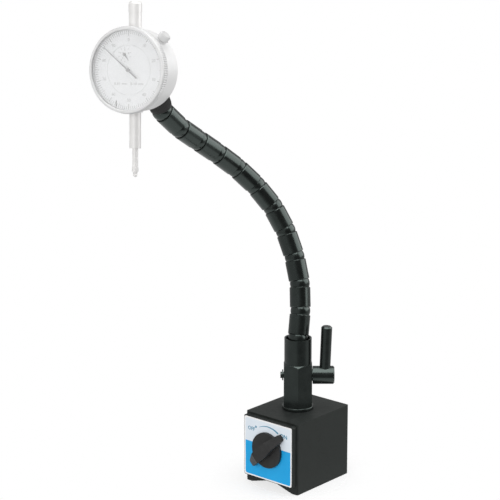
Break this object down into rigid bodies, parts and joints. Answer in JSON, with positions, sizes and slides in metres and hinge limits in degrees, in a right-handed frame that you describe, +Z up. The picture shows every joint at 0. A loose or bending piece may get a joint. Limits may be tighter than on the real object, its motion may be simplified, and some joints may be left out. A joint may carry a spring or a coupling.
{
  "type": "dial indicator on magnetic base",
  "caption": "Dial indicator with a plunger, held by a flexible ball-jointed arm with a cam-lever lock, on a switchable magnetic block with a V groove.",
  "frame": {"origin": "under the middle of the magnet block, on the plane of its feet, in the V groove's middle plane", "axes": "+Z up; facing the switch knob, +X to the right and -Y towards the viewer"},
  "size_m": [0.109, 0.1638, 0.364],
  "materials": {
    "block_paint": "matt black paint, fine texture",
    "spacer_brass": "machined",
    "label": "printed in white and blue",
    "steel": "ground",
    "magnet": "sintered magnet between steel shells",
    "knob": "moulded, satin",
    "black_oxide": "black oxide, satin",
    "pale_alloy": "satin, pale",
    "pale_steel": "ground, pale",
    "window": "clear",
    "dial_print": "printed white",
    "hand": "painted dark"
  },
  "bodies": {
    "base": {"left_pole": "block_paint", "right_pole": "block_paint", "pole_spacer": "spacer_brass", "front_plate": "block_paint", "label_plate": "label", "rear_plate": "block_paint", "plate_screws": "steel", "post_stud": "black_oxide", "hex_post": "black_oxide"},
    "switch": {"magnet_rotor": "magnet", "rotor_spindle": "steel", "switch_knob": "knob"},
    "cam": {"cam_shaft": "black_oxide", "lever_rod": "black_oxide", "cam_clip": "black_oxide"},
    "puller": {"cable_puller": "steel", "tension_cable": "steel"},
    "ball_00": {"ball_00": "black_oxide"},
    "tube_01": {"tube_01": "black_oxide"},
    "ball_01": {"ball_01": "black_oxide"},
    "tube_02": {"tube_02": "black_oxide"},
    "ball_02": {"ball_02": "black_oxide"},
    "tube_03": {"tube_03": "black_oxide"},
    "ball_03": {"ball_03": "black_oxide"},
    "tube_04": {"tube_04": "black_oxide"},
    "ball_04": {"ball_04": "black_oxide"},
    "tube_05": {"tube_05": "black_oxide"},
    "ball_05": {"ball_05": "black_oxide"},
    "tube_06": {"tube_06": "black_oxide"},
    "ball_06": {"ball_06": "black_oxide"},
    "tube_07": {"tube_07": "black_oxide"},
    "ball_07": {"ball_07": "black_oxide"},
    "tube_08": {"tube_08": "black_oxide"},
    "ball_08": {"ball_08": "black_oxide"},
    "tube_09": {"tube_09": "black_oxide"},
    "ball_09": {"ball_09": "black_oxide"},
    "tube_10": {"tube_10": "black_oxide"},
    "ball_10": {"ball_10": "black_oxide"},
    "tube_11": {"tube_11": "black_oxide"},
    "ball_11": {"ball_11": "black_oxide"},
    "head": {"arm_head": "black_oxide", "cable_stop": "spacer_brass"},
    "lug_screw": {"lug_screw": "black_oxide"},
    "indicator": {"dial_case": "pale_alloy", "back_cover": "pale_alloy", "cover_screws": "steel", "stem": "pale_steel", "dust_cap": "pale_alloy", "movement_plate": "dial_print", "return_spring": "steel"},
    "bezel": {"bezel": "pale_alloy", "crystal": "window", "dial_face": "dial_print"},
    "clamp": {"bezel_clamp": "pale_alloy"},
    "plunger": {"plunger": "steel", "contact_point": "steel"},
    "counter": {"counter_hand": "hand", "rack_wheel": "spacer_brass"},
    "centre": {"main_hand": "hand", "centre_pinion": "steel"}
  },
  "joints": [
    {"name": "switch_turn", "type": "hinge", "parent": "base", "child": "switch", "pos_m": [0, -0.03, 0.031], "axis": [0, -1, 0], "range_deg": [0, 90]},
    {"name": "lever_turn", "type": "hinge", "parent": "base", "child": "cam", "pos_m": [0, 0, 0.0808], "axis": [0.7547, 0.6561, 0], "range_deg": [0, 71]},
    {"name": "plunger_slide", "type": "slide", "parent": "indicator", "child": "plunger", "axis": [-0.0895, 0.1171, 0.9891], "range_m": [0, 0.01], "stiffness_N_per_m": 50, "springref_m": -0.012, "deforming": ["return_spring"]},
    {"name": "bezel_turn", "type": "hinge", "parent": "indicator", "child": "bezel", "pos_m": [-0.05461, -0.11071, 0.31717], "axis": [-0.2466, 0.9595, -0.1359], "continuous": true},
    {"name": "clamp_turn", "type": "hinge", "parent": "indicator", "child": "clamp", "pos_m": [-0.05461, -0.11071, 0.31717], "axis": [0.6191, 0.2639, 0.7397], "range_deg": [0, 270]},
    {"name": "lug_screw_turn", "type": "hinge", "parent": "head", "child": "lug_screw", "pos_m": [-0.05887, -0.09367, 0.31275], "axis": [0.965, 0.2561, 0.057], "range_deg": [0, 270]},
    {"name": "dial_tilt", "type": "hinge", "parent": "head", "child": "indicator", "pos_m": [-0.05887, -0.09367, 0.31275], "axis": [0.965, 0.2561, 0.057], "range_deg": [-90, 25]},
    {"name": "fore_00", "type": "hinge", "parent": "base", "child": "ball_00", "pos_m": [0, 0, 0.1095], "axis": [0.7547, 0.6561, 0], "range_deg": [-2, 34]},
    {"name": "side_00", "type": "hinge", "parent": "ball_00", "child": "tube_01", "pos_m": [0, 0, 0.1095], "axis": [-0.6306, 0.7255, -0.2756], "range_deg": [-23, 13]},
    {"name": "fore_01", "type": "hinge", "parent": "tube_01", "child": "ball_01", "pos_m": [-0.00233, 0.00539, 0.12904], "axis": [-0.7676, -0.6354, 0.0838], "range_deg": [-26, 24]},
    {"name": "side_01", "type": "hinge", "parent": "ball_01", "child": "tube_02", "pos_m": [-0.00233, 0.00539, 0.12904], "axis": [0.6286, -0.7207, 0.2923], "range_deg": [-31, 19]},
    {"name": "fore_02", "type": "hinge", "parent": "tube_02", "child": "ball_02", "pos_m": [-0.00651, 0.00966, 0.14854], "axis": [0.7503, 0.6609, 0.0163], "range_deg": [-27, 23]},
    {"name": "side_02", "type": "hinge", "parent": "ball_02", "child": "tube_03", "pos_m": [-0.00651, 0.00966, 0.14854], "axis": [-0.6353, 0.7276, -0.2588], "range_deg": [-15, 35]},
    {"name": "fore_03", "type": "hinge", "parent": "tube_03", "child": "ball_03", "pos_m": [-0.01284, 0.01101, 0.16789], "axis": [-0.7071, -0.6828, -0.1837], "range_deg": [-23, 27]},
    {"name": "side_03", "type": "hinge", "parent": "ball_03", "child": "tube_04", "pos_m": [-0.01284, 0.01101, 0.16789], "axis": [0.6458, -0.7295, 0.2255], "range_deg": [-33, 17]},
    {"name": "fore_04", "type": "hinge", "parent": "tube_04", "child": "ball_04", "pos_m": [-0.02067, 0.0099, 0.18669], "axis": [0.6602, 0.6818, 0.3151], "range_deg": [-29, 21]},
    {"name": "side_04", "type": "hinge", "parent": "ball_04", "child": "tube_05", "pos_m": [-0.02067, 0.0099, 0.18669], "axis": [-0.671, 0.7239, -0.1606], "range_deg": [-16, 34]},
    {"name": "fore_05", "type": "hinge", "parent": "tube_05", "child": "ball_05", "pos_m": [-0.02958, 0.0056, 0.20453], "axis": [-0.5992, -0.6569, -0.4575], "range_deg": [-19, 31]},
    {"name": "side_05", "type": "hinge", "parent": "ball_05", "child": "tube_06", "pos_m": [-0.02958, 0.0056, 0.20453], "axis": [0.7129, -0.6979, 0.0684], "range_deg": [-36, 14]},
    {"name": "fore_06", "type": "hinge", "parent": "tube_06", "child": "ball_06", "pos_m": [-0.03921, -0.00267, 0.22051], "axis": [0.5187, 0.5905, 0.6183], "range_deg": [-35, 15]},
    {"name": "side_06", "type": "hinge", "parent": "ball_06", "child": "tube_07", "pos_m": [-0.03921, -0.00267, 0.22051], "axis": [-0.784, 0.6169, 0.0686], "range_deg": [-18, 32]},
    {"name": "fore_07", "type": "hinge", "parent": "tube_07", "child": "ball_07", "pos_m": [-0.0474, -0.01467, 0.23482], "axis": [-0.4733, -0.5226, -0.7091], "range_deg": [-14, 36]},
    {"name": "side_07", "type": "hinge", "parent": "ball_07", "child": "tube_08", "pos_m": [-0.0474, -0.01467, 0.23482], "axis": [0.8463, -0.4933, -0.2013], "range_deg": [-30, 20]},
    {"name": "fore_08", "type": "hinge", "parent": "tube_08", "child": "ball_08", "pos_m": [-0.05321, -0.02973, 0.2473], "axis": [0.4502, 0.46, 0.7653], "range_deg": [-33, 17]},
    {"name": "side_08", "type": "hinge", "parent": "ball_08", "child": "tube_09", "pos_m": [-0.05321, -0.02973, 0.2473], "axis": [-0.8777, 0.3857, 0.2844], "range_deg": [-24, 26]},
    {"name": "fore_09", "type": "hinge", "parent": "tube_09", "child": "ball_09", "pos_m": [-0.05672, -0.04621, 0.2588], "axis": [-0.4473, -0.446, -0.7753], "range_deg": [-21, 29]},
    {"name": "side_09", "type": "hinge", "parent": "ball_09", "child": "tube_10", "pos_m": [-0.05672, -0.04621, 0.2588], "axis": [0.8875, -0.3285, -0.3231], "range_deg": [-24, 26]},
    {"name": "fore_10", "type": "hinge", "parent": "tube_10", "child": "ball_10", "pos_m": [-0.05882, -0.06303, 0.27015], "axis": [0.4491, 0.4605, 0.7657], "range_deg": [-20, 30]},
    {"name": "side_10", "type": "hinge", "parent": "ball_10", "child": "tube_11", "pos_m": [-0.05882, -0.06303, 0.27015], "axis": [-0.8752, 0.3991, 0.2734], "range_deg": [-32, 18]},
    {"name": "fore_11", "type": "hinge", "parent": "tube_11", "child": "ball_11", "pos_m": [-0.06134, -0.07794, 0.28384], "axis": [-0.4677, -0.5537, -0.689], "range_deg": [-24, 26]},
    {"name": "side_11", "type": "hinge", "parent": "ball_11", "child": "head", "pos_m": [-0.06134, -0.07794, 0.28384], "axis": [0.8772, -0.3863, -0.285], "range_deg": [-3, 47]},
    {"name": "puller_slide", "type": "slide", "parent": "base", "child": "puller", "axis": [0, 0, 1], "range_m": [0, 0.00115], "deforming": ["tension_cable"]},
    {"name": "counter_turn", "type": "hinge", "parent": "indicator", "child": "counter", "pos_m": [-0.05864, -0.11029, 0.3274], "axis": [0.2466, -0.9595, 0.1359], "range_deg": [0, 361]},
    {"name": "centre_turn", "type": "hinge", "parent": "indicator", "child": "centre", "pos_m": [-0.05461, -0.11071, 0.31717], "axis": [-0.2466, 0.9595, -0.1359], "range_deg": [0, 3610]}
  ],
  "couplings": [
    {"joint": "lever_turn", "follows": "puller_slide", "rad_per_m": 1065},
    {"joint": "counter_turn", "follows": "plunger_slide", "rad_per_m": 628.32},
    {"joint": "centre_turn", "follows": "plunger_slide", "rad_per_m": 6283.2}
  ]
}
